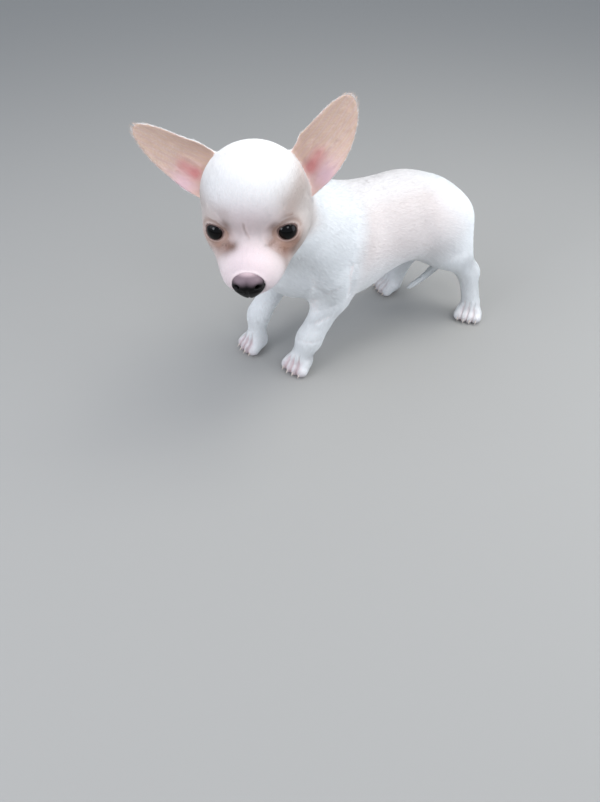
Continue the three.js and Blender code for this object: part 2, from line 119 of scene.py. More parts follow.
def paw_turn(paw):
    turn = math.radians(PAW[paw]["turn"])
    return np.array([[math.cos(turn), math.sin(turn), 0], [-math.sin(turn), math.cos(turn), 0], [0, 0, 1]])


def in_paw(points, paw):
    return (points - PAW[paw]["at"]) @ paw_turn(paw).T


def from_paw(points, paw):
    return points @ paw_turn(paw) + PAW[paw]["at"]


def toe_reach(paw, toe):
    return PAW[paw]["length"] * (0.36 - 0.055 * np.abs(toe))


def ramp(values, low, high):
    t = np.clip((values - low) / (high - low), 0, 1)
    return t * t * (3 - 2 * t)


def bell(values, width):
    return np.exp(-((values / width) ** 2))


def near_stroke(h, ends):
    """How far each point lies from a straight stroke between two ends."""
    start, end = np.array(ends)
    run = end - start
    along = np.clip((h - start) @ run / run.dot(run), 0, 1)
    return np.linalg.norm(h - start - along[:, None] * run, axis=1)


def new_object(name, mesh):
    piece = bpy.data.objects.new(name, mesh)
    bpy.context.scene.collection.objects.link(piece)
    return piece


def pick(piece):
    bpy.ops.object.select_all(action="DESELECT")
    piece.select_set(True)
    bpy.context.view_layer.objects.active = piece


def finish_modifier(piece, modifier):
    pick(piece)
    bpy.ops.object.modifier_apply(modifier=modifier.name)


def points_of(mesh):
    co = np.empty(len(mesh.vertices) * 3)
    mesh.vertices.foreach_get("co", co)
    return co.reshape(-1, 3) / MM - PLAN


def move_points(mesh, points):
    mesh.vertices.foreach_set("co", ((points + PLAN) * MM).astype(np.float32).ravel())
    mesh.update()


def normals_of(mesh):
    found = np.empty(len(mesh.vertices) * 3)
    mesh.vertex_normals.foreach_get("vector", found)
    return found.reshape(-1, 3)


def edges_of(mesh):
    ends = np.empty(len(mesh.edges) * 2, np.int32)
    mesh.edges.foreach_get("vertices", ends)
    return ends.reshape(-1, 2)


def eased(values, edges, share, rounds):
    """Values drawn towards the mean of their neighbours, by a share of their own."""
    ends, others = np.concatenate([edges, edges[:, ::-1]]).T
    degree = np.maximum(np.bincount(ends, minlength=len(values)), 1)
    values = values.copy()
    for _ in range(rounds):
        for column in range(values.shape[1]):
            mean = np.bincount(ends, values[others, column], len(values)) / degree
            values[:, column] += share * (mean - values[:, column])
    return values


def flesh_blank():
    """The flesh nodes, with the eye sockets and the nose pocket filled, swollen until they touch."""
    solid = bmesh.new()
    owner = []
    for number, node in enumerate(FLESH):
        solid.from_mesh(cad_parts[node].data)
        owner += [number] * (len(solid.faces) - len(owner))
    for node, growth in SOCKET_FILLINGS.items():
        first = len(solid.verts)
        solid.from_mesh(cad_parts[node].data)
        solid.verts.ensure_lookup_table()
        centre = Vector(middle(node) * MM)
        for vert in solid.verts[first:]:
            vert.co = centre + (vert.co - centre) * growth
        owner += [FLESH.index("head")] * (len(solid.faces) - len(owner))
    tree = BVHTree.FromBMesh(solid)
    bmesh.ops.remove_doubles(solid, verts=solid.verts, dist=1e-6)
    for vert in solid.verts:
        vert.co += vert.normal * SWELL * MM
    mesh = bpy.data.meshes.new("skin")
    solid.to_mesh(mesh)
    solid.free()
    return mesh, tree, np.array(owner)


def kind(node):
    return next(word for word in ROUNDING if word in node)


def on(node, region):
    return region == FLESH.index(node)


def nodes_at(points):
    """The flesh node that each point is nearest to, by its number in FLESH."""
    return np.array([cad_owner[cad_tree.find_nearest(Vector(p))[2]] for p in (points + PLAN) * MM])


blank, cad_tree, cad_owner = flesh_blank()
skin = new_object("skin", blank)
remesh = skin.modifiers.new("remesh", "REMESH")
remesh.mode = "VOXEL"
remesh.voxel_size = VOXEL * MM
remesh.use_smooth_shade = True
finish_modifier(skin, remesh)

points = points_of(skin.data)
edges = edges_of(skin.data)
region = nodes_at(points)
rounding = np.array([ROUNDING[kind(node)] for node in FLESH])[region]
depth = np.array([COAT_DEPTH[kind(node)] for node in FLESH])[region]
both = eased(np.stack([rounding, depth], 1), edges, 0.5, BLEND_ROUNDS)
points = eased(points, edges, both[:, 0], ROUNDING_ROUNDS)
move_points(skin.data, points)
points -= normals_of(skin.data) * (both[:, 1:] + SWELL * SWELL_LEFT)
move_points(skin.data, points)

# The broad parts carry fewer points than the face, the ears and the paws, and the hide round the eyes, the
# nose and the toes carries the most, so that the whole sheet stays under 200,000 triangles.
BROAD_SHARE = 0.335
FACE_ENDS_AT = 2
FINE_ROUND_EYE = 11.5
FINE_ROUND_NOSE = 16
FINE_AT_TOES = ((-14, -16, 1), (14, 1, 14))
fine = skin.vertex_groups.new(name="fine")
kept = np.array([kind(node) in ("ear", "paw", "head") for node in FLESH])[region]
h = in_head(points)
kept &= ~((np.array(FLESH)[region] == "head") & (h[:, 1] > FACE_ENDS_AT))
fine.add(np.nonzero(kept)[0].tolist(), 1.0, "REPLACE")
thin = skin.modifiers.new("thin", "DECIMATE")
thin.ratio = BROAD_SHARE
thin.vertex_group = "fine"
thin.invert_vertex_group = True
finish_modifier(skin, thin)
skin.vertex_groups.clear()


def split_faces(mesh, wanted):
    """Cuts each face in four where its middle is wanted."""
    work = bmesh.new()
    work.from_mesh(mesh)
    middles = np.array([face.calc_center_median() for face in work.faces]) / MM - PLAN
    work.faces.ensure_lookup_table()
    sides = {edge for i in np.nonzero(wanted(middles))[0] for edge in work.faces[i].edges}
    bmesh.ops.subdivide_edges(work, edges=list(sides), cuts=1, use_grid_fill=True)
    work.to_mesh(mesh)
    work.free()


def near_openings(places):
    h = in_head(places)
    eyes = np.min([np.linalg.norm(h - EYE * [side, 1, 1], axis=1) for side in (1, -1)], axis=0)
    toes = np.zeros(len(places), bool)
    for paw in PAW:
        q = in_paw(places, paw)
        toes |= np.all((q > FINE_AT_TOES[0]) & (q < FINE_AT_TOES[1]), axis=1)
    nose = np.linalg.norm((h - NOSE) / [1.1, 1, 1], axis=1)
    return (eyes < FINE_ROUND_EYE) & (h[:, 1] < -12) | (nose < FINE_ROUND_NOSE) | toes


split_faces(skin.data, near_openings)
print("skin", len(skin.data.vertices), len(skin.data.polygons))

# Eyelids: thin folds of hide that fit close on the ball of the eye, with a rim along the opening.
EYE_RADIUS = 6.6
EYE_LOOK = np.array([0.3, -0.85, 0.42])
LID_OPENING = {"half_width": 4.7, "upper": 2.9, "lower": 3.8, "tilt": 0.06}
LID_THICKNESS = 0.6
LID_REACH = {"gap": 6.5, "distance": 13.5}


def eye_view(h, side):
    """Each point's direction from the eye, how far round it lies, and its distance from the lids' opening."""
    look = unit(EYE_LOOK * [side, 1, 1])
    up = unit(np.array([0, 0, 1.0]) - look * look[2])
    out = np.cross(look, up)
    out *= np.sign(out[0]) * side
    tilt = LID_OPENING["tilt"]
    out, up = out * math.cos(tilt) + up * math.sin(tilt), up * math.cos(tilt) - out * math.sin(tilt)
    from_eye = h - EYE * [side, 1, 1]
    distance = np.linalg.norm(from_eye, axis=1)
    direction = unit(from_eye)
    facing = direction @ look
    arc = EYE_RADIUS * np.arccos(np.clip(facing, -1, 1))
    a, b = (arc * (unit(direction - facing[:, None] * look) @ axis) for axis in (out, up))
    half = np.where(b > 0, LID_OPENING["upper"], LID_OPENING["lower"])
    size = (np.abs(a / LID_OPENING["half_width"]) ** 2.1 + np.abs(b / half) ** 2.1) ** (1 / 2.1)
    return direction, distance, a, b, (size - 1) * 4


def shape_lids(h):
    for side in (1, -1):
        direction, distance, a, b, gap = eye_view(h, side)
        rim = np.interp(gap, [-0.9, -0.25, 0.0, 0.3, 0.7, 1.4], [-0.9, -0.6, 0.05, 0.35, 0.5, LID_THICKNESS])
        above = ramp(b, -0.5, 1.5) * (1 - ramp(a, 1.5, 4.5))
        fold = 0.34 * above * bell(gap - 2.3, 0.45) + 0.2 * ramp(-b, 0, 1.5) * bell(gap - 2.2, 0.5)
        pouch = 0.2 * above * bell(gap - 3.2, 0.6) + 0.15 * ramp(-b, 0, 1.5) * bell(gap - 3.1, 0.7)
        wanted = EYE_RADIUS + rim
        share = 1 - ramp(gap, 0.9, 3.4)
        radius = distance + share * (wanted - distance) + (pouch - fold) * (1 - ramp(distance, 8.5, 11))
        near = (gap < LID_REACH["gap"]) & (distance < LID_REACH["distance"])
        h = np.where(near[:, None], EYE * [side, 1, 1] + direction * radius[:, None], h)
    return h


# Mouth: the lips meet in one line from corner to corner, with a cleft from its middle to the nose.
MOUTH_CORNER = np.array([12.5, -17.0, -21.0])
MOUTH_MIDDLE = np.array([0.0, -40.0, -25.0])


def near_line(h, normals, line):
    """How far each point lies from a line of points, seen along its own normal."""
    best = np.full(len(h), 99.0)
    for spot in line:
        apart = h - spot
        far = np.linalg.norm(apart, axis=1)
        apart -= np.sum(apart * normals, axis=1, keepdims=True) * normals
        best = np.minimum(best, np.where(far < 5, np.linalg.norm(apart, axis=1), 99))
    return best


def mouth_line():
    t = np.linspace(0, 1, 60)[:, None]
    half = MOUTH_MIDDLE + (MOUTH_CORNER - MOUTH_MIDDLE) * t
    half[:, 0] = MOUTH_CORNER[0] * np.sin(t[:, 0] * math.pi / 2)
    return np.concatenate([half, half * [-1, 1, 1]])


def cleft_line():
    return np.linspace(NOSE + [0, -2.5, -6.2], MOUTH_MIDDLE + [0, -1, 0.5], 16)


# Folds in the bare cup of each ear: low ridges that run up and out from the canal, each given by its two ends
# and by how high and how wide it is.
EAR_FOLDS = {
    1: [
        (((24.8, 14.0, 8.0), (28.5, 15.5, 17.0)), 0.45, 0.9),
        (((28.6, 14.8, 7.0), (36.0, 17.0, 15.0)), 0.4, 0.9),
        (((31.0, 12.5, 3.0), (38.5, 13.5, 7.0)), 0.35, 0.8),
    ],
    -1: [
        (((28.0, 13.4, 6.6), (35.0, 15.5, 11.0)), 0.45, 0.9),
        (((31.5, 13.4, 1.6), (40.0, 15.5, 4.0)), 0.4, 0.9),
        (((34.0, 12.0, -1.5), (42.0, 13.0, -2.0)), 0.35, 0.8),
    ],
}

# The nose leather sits in a shallow socket of hide at the end of the muzzle.
NOSE_AT = NOSE + np.array([0.0, 0.1, -0.9])
NOSE_HALF = np.array([8.1, 5.4, 7.0])

# A frown: the brow's skin is drawn into one slanting crease between the eyes.
FROWN = np.linspace([-1.4, -26.4, 3.6], [0.2, -26.7, -3.4], 16)
FROWN[:, 0] -= 0.7 * np.sin(np.linspace(0, math.pi, 16))
BROW_BONE = np.array([13.5, -20.5, 2.5])


def shape_face(points, normals):
    h = in_head(points)
    n = normals @ HEAD_AXES.T
    mouth = near_line(h, n, mouth_line())
    cleft = near_line(h, n, cleft_line())
    frown = near_line(h, n, FROWN)
    sink = 0.85 * bell(mouth, 0.55) - 0.22 * bell(mouth - 1.5, 0.7)
    sink += 0.5 * bell(cleft, 0.5) + 0.34 * bell(frown, 0.5) - 0.15 * bell(frown - 1.5, 0.8)
    for side in (1, -1):
        brow_bone = np.linalg.norm(h - BROW_BONE * [side, 1, 1], axis=1)
        sink -= 0.5 * bell(brow_bone, 5)
    for side, folds in EAR_FOLDS.items():
        for line, height, width in folds:
            ridge = bell(near_line(h, n, np.linspace(*np.array(line) * [side, 1, 1], 14)), width)
            sink -= height * ridge * ramp(-n[:, 1], 0.0, 0.4)
    h = h - n * sink[:, None]
    under_nose = np.linalg.norm((h - NOSE_AT) / NOSE_HALF, axis=1)
    socket = (1 - ramp(under_nose, 0.94, 1.04)) * ramp(-h[:, 1], 39.5, 42)
    h += (NOSE_AT + [0, 3, 0] - h) * (0.6 * socket)[:, None]
    return from_head(shape_lids(h))


# Muscles and bones that show through the hide: strokes that rise over the shoulder blade, the upper arm and
# the thigh, and that sink behind the shoulder, beside the elbow and before the thigh. Each is given by its
# two ends and by how high and how wide it is.
BODY_RELIEF = [
    (((34, -54, 101), (33, -42, 88)), 0.9, 9.0),
    (((20, -20, 111), (31.6, -22, 102)), -0.5, 5.0),
    (((31.6, -22, 102), (35.4, -26, 84)), -0.55, 5.0),
    (((36, -29.5, 83), (34, -26.5, 62)), -0.95, 2.3),
    (((33.7, -40, 76), (31, -37, 62)), 1.0, 6.0),
    (((30.6, -52, 87), (27, -49, 66)), -0.7, 2.6),
    (((27, 33, 86), (22, 40, 62)), -0.9, 5.0),
    (((31, 56, 70), (29, 60, 54)), 0.7, 8.0),
]


# The tail runs out to a thin point under the belly, along this line in side view.
TAIL_END = np.array([[48.2, 20.4], [64.0, 27.3], [77.0, 37.0]])


def shape_body(points, normals, region):
    broad = [number for number, node in enumerate(FLESH) if kind(node) in ("torso", "neck", "leg")]
    on_body = np.isin(region, broad)
    rise = np.zeros(len(points))
    for side in (1, -1):
        for ends, height, width in BODY_RELIEF:
            rise += height * bell(near_stroke(points * [side, 1, 1], ends), width)
    points = points + normals * (rise * on_body)[:, None]
    y = points[:, 1]
    slim = 0.2 * ramp(-y, -80, -60) + 0.3 * ramp(-y, -52, -48)
    slim *= on("tail", region) * (points[:, 2] < 60)
    points[:, 0] *= 1 - slim
    points[:, 2] -= slim * (points[:, 2] - np.interp(y, *TAIL_END.T))
    return points


# Creases of loose hide: across each wrist, round the front of the left elbow, and down behind the shoulder.
CREASE = {"depth": 0.42, "width": 1.2, "swell": 0.14}
CREASES = [
    ((24.5, -43.9, 43.3), (29.5, -37.1, 47.8)),
    ((17.0, -51.6, 30.0), (25.4, -49.3, 30.3)),
    ((25.4, -49.3, 30.3), (27.7, -42.0, 31.4)),
    ((-11.0, -54.0, 37.5), (-19.0, -50.0, 38.5)),
    ((-12.0, -60.0, 27.0), (-20.0, -57.0, 27.0)),
    ((28.1, -48.7, 72.5), (31.4, -41.8, 68.0)),
    ((31.4, -41.8, 68.0), (35.1, -36.1, 71.7)),
    ((35.4, -27.1, 84.0), (36.0, -28.5, 72.4)),
]


def near_crease(points):
    return np.min([near_stroke(points, ends) for ends in CREASES], axis=0)


# Toes: four slender toes to a foot, parted by grooves that run back over it, with a low knuckle on each.
TOE_GROOVE = {"depth": 1.25, "width": 0.75}
KNUCKLE = {"back": 3.4, "up": 9.5, "width": 2.2, "rise": 0.35}


def toe_gap(q, paw):
    """How far each point lies from the nearest groove between two toes, in the paw's own axes."""
    spread = PAW[paw]["half_width"] * 0.5 * (0.8 + 0.2 * ramp(-q[:, 1], 2, 7))
    return np.min([abs(q[:, 0] - groove * spread) for groove in (-1, 0, 1)], axis=0)


def shape_paws(points, normals, region):
    moved = points.copy()
    for paw in PAW:
        own = on(f"{paw}_paw", region)
        q = in_paw(points[own], paw)
        toe = np.clip(q[:, 0] / (PAW[paw]["half_width"] * 0.5), -1.5, 1.5)
        front = ramp(-q[:, 1], 0.5, 4.5) * ramp(q[:, 2], 0.6, 2.0)
        sink = TOE_GROOVE["depth"] * bell(toe_gap(q, paw), TOE_GROOVE["width"]) * front
        knuckle = bell(np.hypot(q[:, 1] + KNUCKLE["back"], q[:, 2] - KNUCKLE["up"]), KNUCKLE["width"])
        sink -= KNUCKLE["rise"] * knuckle * (1 - bell(toe_gap(q, paw), 1.0))
        q -= (normals[own] @ paw_turn(paw).T) * sink[:, None]
        tip = toe_reach(paw, toe) + 3.2 - 0.06 * (q[:, 2] - 4.5) ** 2
        q[:, 1] = np.where(q[:, 2] < 9, -np.minimum(-q[:, 1], tip), q[:, 1])
        moved[own] = from_paw(q, paw)
    crease = near_crease(moved)
    sink = CREASE["depth"] * bell(crease, CREASE["width"]) - CREASE["swell"] * bell(crease - 2.6, 1.1)
    return moved - normals * sink[:, None]


points = points_of(skin.data)
normals = normals_of(skin.data)
region = nodes_at(points)
points = shape_body(shape_face(points, normals), normals, region)
points = shape_paws(points, normals, region)

# The brow runs smoothly down to the upper lids, and the muzzle up to their inner corners.
BROW_LINE = np.array([[11, -22.5, 0.5], [19, -16.5, 3.5]])
EYE_CORNER = np.array([11.0, -24.5, -4.0])
h = in_head(points)
soft = np.zeros(len(points))
for side in (1, -1):
    off_lids = ramp(eye_view(h, side)[4], 1.2, 2.6)
    soft += bell(near_stroke(h, BROW_LINE * [side, 1, 1]), 4.5) * off_lids
    soft += bell(np.linalg.norm(h - EYE_CORNER * [side, 1, 1], axis=1), 3.5) * off_lids
points = eased(points, edges_of(skin.data), 0.55 * np.clip(soft, 0, 1), 40)
move_points(skin.data, points)
skin.data.shade_smooth()


def linear(colour):
    """An sRGB hex colour as linear red, green and blue."""
    part = np.array([int(colour[i : i + 2], 16) for i in (1, 3, 5)]) / 255
    return np.where(part <= 0.04045, part / 12.92, ((part + 0.055) / 1.055) ** 2.4)


# Markings: a white coat with a faint cream saddle over the ribs and loin, a greyish pink face, brown stains
# round the eyes where tears run, and pink hide in the ears and between the toes. Hide and hair share them.
# Some of it is painted light: a cool cast of the sky over the body, and painted shade low on the cheeks, at
# the left temple, along the frown, in the folds over the upper lids and in the creases of the hide.
WHITE = "#f7f6f5"
SKY_TINT_WHITE = "#eef3f5"
CREAM = "#e8deda"
FAWN = "#dacdcb"
CHEEK_GREY_AND_SHADE = "#d2c7c0"
FAWN_AND_SHADE = "#9c7d6b"
TEAR_BROWN = "#63412d"
STROKE_BROWN = "#54423c"
MUZZLE_PINK = "#e6d9dc"
BROW_PINK = "#eee1e3"
EAR_TAN = "#e4c7b1"
EAR_ROSE = "#d99693"
EAR_MAUVE = "#dcbcc6"
TOE_PINK = "#c9abb0"
PAD_PINK = "#b8918d"
LID_PINK = "#cdb6ad"
LID_RIM = "#2e2321"
LIP_BROWN = "#6b4a45"
CREASE_SHADE = "#a3a2a2"
HIDE_PINK = "#e8b8ac"
STAIN_MIDDLE = np.array([17.5, -21.5, -6.0])
EYE_STAINS_AND_SHADE = [
    (((-10.6, -24.3, 1.8), (-11.4, -24.1, -3.0)), 2.9, TEAR_BROWN, 0.72),
    (((11.8, -23.4, -0.6), (12.2, -23.8, -4.0)), 2.8, TEAR_BROWN, 0.72),
    (((-17.0, -24.2, -9.2), (-8.0, -28.4, -7.2)), 3.0, TEAR_BROWN, 0.88),
    (((10.8, -26.0, -7.0), (15.7, -25.0, -10.2)), 2.7, TEAR_BROWN, 0.9),
    (((15.7, -25.0, -10.2), (21.8, -20.9, -10.2)), 2.8, TEAR_BROWN, 0.88),
    (((16.0, -24.0, -12.5), (21.0, -18.0, -17.0)), 5.0, FAWN_AND_SHADE, 0.35),
    (((12.0, -26.0, -8.0), (16.5, -24.5, -9.5)), 2.2, TEAR_BROWN, 0.45),
    (((14.5, -27.0, -10.5), (19.5, -23.3, -13.5)), 3.2, TEAR_BROWN, 0.55),
    (((16.5, -28.0, -14.0), (17.5, -29.5, -18.5)), 3.0, TEAR_BROWN, 0.4),
    (((-16.0, -24.5, -9.0), (-10.5, -27.0, -7.8)), 2.2, TEAR_BROWN, 0.5),
    (((-16.5, -26.5, -11.5), (-11.0, -29.5, -9.8)), 2.8, TEAR_BROWN, 0.42),
    (((-12.0, -25.6, -6.6), (-8.2, -27.6, -5.9)), 0.6, STROKE_BROWN, 0.4),
    (((-12.0, -25.6, -8.4), (-7.8, -27.9, -7.8)), 0.6, STROKE_BROWN, 0.4),
    (((7.4, -28.2, -6.9), (10.2, -26.9, -7.4)), 0.6, STROKE_BROWN, 0.3),
    (((14.9, -22.2, 2.4), (17.5, -20.1, 3.2)), 0.7, FAWN_AND_SHADE, 0.7),
    (((17.5, -20.1, 3.2), (20.0, -17.4, 2.2)), 0.7, FAWN_AND_SHADE, 0.7),
    # Tan-grey hair at the left temple, darkened further by painted shade cast by the ear.
    (((19.1, -16.9, 7.0), (25.0, -6.0, 10.0)), 7.0, FAWN_AND_SHADE, 0.44),
    (((-9.6, -24.0, 7.7), (-14.0, -20.0, 7.5)), 3.0, FAWN_AND_SHADE, 0.25),
]
EAR_LENGTH = 41.2
EAR_ROOTS = np.array([[19.0, 11.0, 16.5], [27.0, 3.0, -4.0]])
EAR_POSE = {"ear_left": (1, 38, 20), "ear_right": (-1, 59, 13)}
EAR_CANAL = {"ear_left": (26.6, 14.8, 5.0), "ear_right": (-30.8, 13.9, 3.0)}
EAR_LOBE = {"ear_left": (34.0, 11.0, 2.0), "ear_right": (-38.0, 11.0, -2.5)}


def ear_place(h, ear):
    """How far up the ear each point lies, the middle of the cup there, and the ear's axis and front."""
    side, *angles = EAR_POSE[ear]
    lean, sweep = (math.radians(angle) for angle in angles)
    axis = unit(np.array([math.sin(lean) * side, math.sin(sweep), math.cos(lean)]))
    front = unit(np.array([0, -1, 0]) + axis * axis[1])
    root = EAR_ROOTS.mean(axis=0) * [side, 1, 1]
    rise = (h - root) @ axis / EAR_LENGTH
    cup = root + axis * EAR_LENGTH * rise[:, None] + front * (14 - 8 * np.clip(rise, 0, 1)[:, None])
    return rise, cup, axis, front


def inner_ear(h, n, ear):
    """1 on the bare inner face of an ear and 0 on its furred back, with the share between them on the rim."""
    _, cup, _, _ = ear_place(h, ear)
    return ramp(np.sum(unit(cup - h) * n, axis=1), -0.1, 0.45)


def markings(points, normals, region):
    """The colour of hide and hair at each point."""
    h = in_head(points)
    n = normals @ HEAD_AXES.T
    colour = np.tile(linear(WHITE), (len(points), 1))

    def paint(hue, share):
        nonlocal colour
        colour = colour + np.clip(share, 0, 1)[:, None] * (linear(hue) - colour)

    node = np.array(FLESH)[region]
    x, y, z = points.T
    wander = 4 * np.sin(x * 0.11 + 1) + 3 * np.sin(z * 0.17 + y * 0.05)
    saddle = ramp(y - 0.2 * (z - 90) + 0.3 * wander, -29, -12) * (1 - ramp(y + wander, 34, 66))
    saddle *= ramp(z + wander, 40, 88)
    saddle *= 1 - 0.5 * ramp(z, 101, 110)
    # Painted light: a cool cast of the sky, tinting the coat of the body and legs, but not of the head and
    # ears, half way to a bluish white.
    paint(SKY_TINT_WHITE, 0.5 * ~np.isin(node, ["head", "ear_left", "ear_right"]))
    paint(CREAM, 0.9 * saddle * np.isin(node, ["torso", "neck"]))
    on_head = node == "head"
    near_head = np.isin(node, ["head", "neck"])
    face = ramp(-h[:, 1], 8, 24) * (1 - ramp(h[:, 2], 0, 15)) * ramp(h[:, 2], -26, -14)
    # Low on each cheek the hair is greyer: partly its own colour, partly painted shade where the cheek turns
    # down and away.
    cheek_and_shade = ramp(np.abs(h[:, 0]), 12, 22) * (1 - ramp(h[:, 2], 4, 16)) * ramp(h[:, 2], -28, -18)
    cheek_and_shade *= 1 - ramp(h[:, 1], 0, 16)
    brow = bell(h[:, 0], 12) * ramp(-h[:, 1], 6, 18) * (1 - ramp(h[:, 2], 4, 18))
    paint(BROW_PINK, 0.7 * brow * on_head)
    paint(FAWN, 0.7 * face * near_head)
    paint(CHEEK_GREY_AND_SHADE, 0.75 * cheek_and_shade * near_head)
    muzzle = bell(h[:, 0], 9) * ramp(-h[:, 1], 25, 31) * (1 - ramp(h[:, 2], -9, -3))
    paint(MUZZLE_PINK, muzzle * on_head)
    paint(MUZZLE_PINK, (0.7 - 0.45 * ramp(np.abs(h[:, 0]), 6, 11)) * ramp(-h[:, 1], 28, 35) * on_head)
    for side in (1, -1):
        around = np.linalg.norm((h - STAIN_MIDDLE * [side, 1, 1]) * [0.9, 1, 1], axis=1)
        paint(FAWN_AND_SHADE, 0.6 * bell(around, 7.5) * (0.6 + 0.4 * ramp(-h[:, 2], -2, 9)) * on_head)
    for ends, width, hue, share in EYE_STAINS_AND_SHADE:
        paint(hue, share * bell(near_stroke(h, ends), width) * on_head)
    for side in (1, -1):
        _, distance, a, b, gap = eye_view(h, side)
        near = on_head * (distance < 9.5)
        corner = np.maximum(ramp(-a, -1.5, 3.5), 0.7 * ramp(-b, 0.5, 3.5))
        paint(FAWN_AND_SHADE, 0.75 * bell(gap - 1.4, 1.7) * (0.2 + 0.8 * corner) * near)
        # Painted shade in the fold over each upper lid.
        paint(FAWN_AND_SHADE, 0.5 * bell(gap - 2.3, 0.6) * (b > 0) * near)
        paint(LID_PINK, 0.8 * bell(gap - 0.8, 0.3) * ramp(-b, 0.2, 1.8) * near)
        upper = ramp(b, 0, 1.5)
        paint(LID_RIM, 0.95 * (1 - ramp(gap, 0.3 + 0.35 * upper, 0.6 + 0.5 * upper)) * near)
    mouth = near_line(h, n, mouth_line()) if on_head.any() else np.full(len(h), 99.0)
    paint(LIP_BROWN, 0.8 * bell(mouth, 0.6) * on_head)
    # Painted shade along the crease of the frown between the eyes.
    frown = near_line(h, n, FROWN) if on_head.any() else mouth
    paint(FAWN_AND_SHADE, 0.3 * bell(frown, 0.6) * on_head)
    for ear, (side, _, _) in EAR_POSE.items():
        rise, _, axis, front = ear_place(h, ear)
        inner = inner_ear(h, n, ear)
        root = EAR_ROOTS.mean(axis=0) * [side, 1, 1]
        within = (node == ear) + on_head * bell(np.linalg.norm(h - root, axis=1), 6) * ramp(inner, 0.5, 0.9)
        paint(EAR_TAN, inner * within)
        across = (h - root) @ np.cross(axis, front)
        streak = 0.5 + 0.5 * np.sin(across * 2.1 + 2.2 * np.sin(rise * 5 + side))
        paint(EAR_MAUVE, 0.25 * streak * inner * within)
        strands = np.sin(across * 7.3 + 3 * np.sin(rise * 9) + 2 * np.sin(across * 1.7))
        wisp = ramp(strands, 0.2, 1) * ramp(rise, 0.05, 0.3)
        paint(WHITE, 0.22 * wisp * inner * within)
        lobe = bell(np.linalg.norm((h - EAR_LOBE[ear]) * [0.8, 0.6, 0.9], axis=1), 7)
        paint(EAR_MAUVE, 0.9 * inner * lobe * within)
        canal = near_stroke(h, (EAR_CANAL[ear], np.array(EAR_CANAL[ear]) + 7 * axis))
        pit = np.linalg.norm(h - EAR_CANAL[ear], axis=1)
        paint(EAR_ROSE, (0.75 * bell(canal, 3.4) + 0.5 * bell(pit, 2.6)) * inner * within)
    # Painted shade in the creases of the hide at the wrists, the elbow and behind the shoulder.
    paint(CREASE_SHADE, 0.3 * bell(near_crease(points), CREASE["width"]))
    for paw in PAW:
        own = node == f"{paw}_paw"
        q = in_paw(points, paw)
        bare = 1 if "front" in paw else 0.4
        between = bell(toe_gap(q, paw), 1.1 + 0.9 * bare) * ramp(-q[:, 1], 1.5, 5)
        between *= 1 - ramp(q[:, 2], 10, 14)
        paint(TOE_PINK, 0.55 * bare * between * own)
        paint(TOE_PINK, 0.3 * bare * own * (1 - ramp(z, 3, 11)) * ramp(-q[:, 1], 3, 8))
        paint(PAD_PINK, own * ramp(-normals[:, 2], 0.5, 0.9))
    return colour


def store_colours(mesh, name, colours):
    layer = mesh.color_attributes.new(name, "FLOAT_COLOR", "POINT")
    layer.data.foreach_set("color", np.c_[colours, np.ones(len(colours))].astype(np.float32).ravel())


points = points_of(skin.data)
normals = normals_of(skin.data)
region = nodes_at(points)
hide_colours = markings(points, normals, region)
bare = np.array([kind(node) == "ear" for node in FLESH])[region][:, None]
hide_colours = hide_colours + (linear(HIDE_PINK) - hide_colours) * 0.14 * (1 - bare)
store_colours(skin.data, "marking", hide_colours)


def node_in(tree, kind_of_node, sockets, links=()):
    """Adds a shader node with its settings, and joins (output, input name) pairs to it."""
    node = tree.nodes.new(kind_of_node)
    for name, value in sockets.items():
        if name in node.inputs:
            node.inputs[name].default_value = value
        else:
            setattr(node, name, value)
    for output, name in links:
        tree.links.new(output, node.inputs[name])
    return node


def new_material(name):
    material = bpy.data.materials.new(name)
    material.use_nodes = True
    tree = material.node_tree
    tree.nodes.clear()
    return material, tree


def surface(tree, shader):
    node_in(tree, "ShaderNodeOutputMaterial", {}, [(shader.outputs[0], "Surface")])


def hide_material():
    """Living skin: soft and dull, with a mottle 6 mm wide and a grain of half a millimetre."""
    material, tree = new_material("puppy hide under short coat")
    marking = node_in(tree, "ShaderNodeAttribute", {"attribute_name": "marking"})
    place = node_in(tree, "ShaderNodeTexCoord", {}).outputs["Object"]
    mottle = node_in(tree, "ShaderNodeTexNoise", {"Scale": 160.0, "Detail": 4.0}, [(place, "Vector")])
    shade = node_in(
        tree, "ShaderNodeMapRange", {"To Min": 0.88, "To Max": 1.08}, [(mottle.outputs["Fac"], "Value")]
    )
    colour = node_in(
        tree,
        "ShaderNodeVectorMath",
        {"operation": "SCALE"},
        [(marking.outputs["Color"], "Vector"), (shade.outputs[0], "Scale")],
    )
    grain = node_in(tree, "ShaderNodeTexNoise", {"Scale": 2200.0, "Detail": 3.0}, [(place, "Vector")])
    bump = node_in(
        tree, "ShaderNodeBump", {"Strength": 0.35, "Distance": 0.0002}, [(grain.outputs["Fac"], "Height")]
    )
    shader = node_in(
        tree,
        "ShaderNodeBsdfPrincipled",
        {"Roughness": 0.6, "IOR": 1.4, "Specular IOR Level": 0.35},
        [(colour.outputs[0], "Base Color"), (bump.outputs[0], "Normal")],
    )
    surface(tree, shader)
    return material


skin.data.materials.append(hide_material())
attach(skin, "root")
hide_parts(*FLESH)

# Eyes: wet balls with a dark brown iris and a wide pupil under a clear, slightly bulging cornea.
# They are set in the lids, a little white showing only at the corners.
IRIS_RADIUS = 5.3
CORNEA_BULGE = 0.35
EYE_RINGS = 40
EYE_SIDES = 48

# The eye's colours, from the middle of the pupil out to the white, as shares of an arc along the ball.
EYE_ARC = 7
EYE_COLOURS = [
    (0.0, "#030303"),
    (0.4, "#040303"),
    (0.48, "#0c0705"),
    (0.66, "#100906"),
    (0.72, "#060404"),
    (0.8, "#4d3d38"),
    (1.0, "#9b867e"),
]


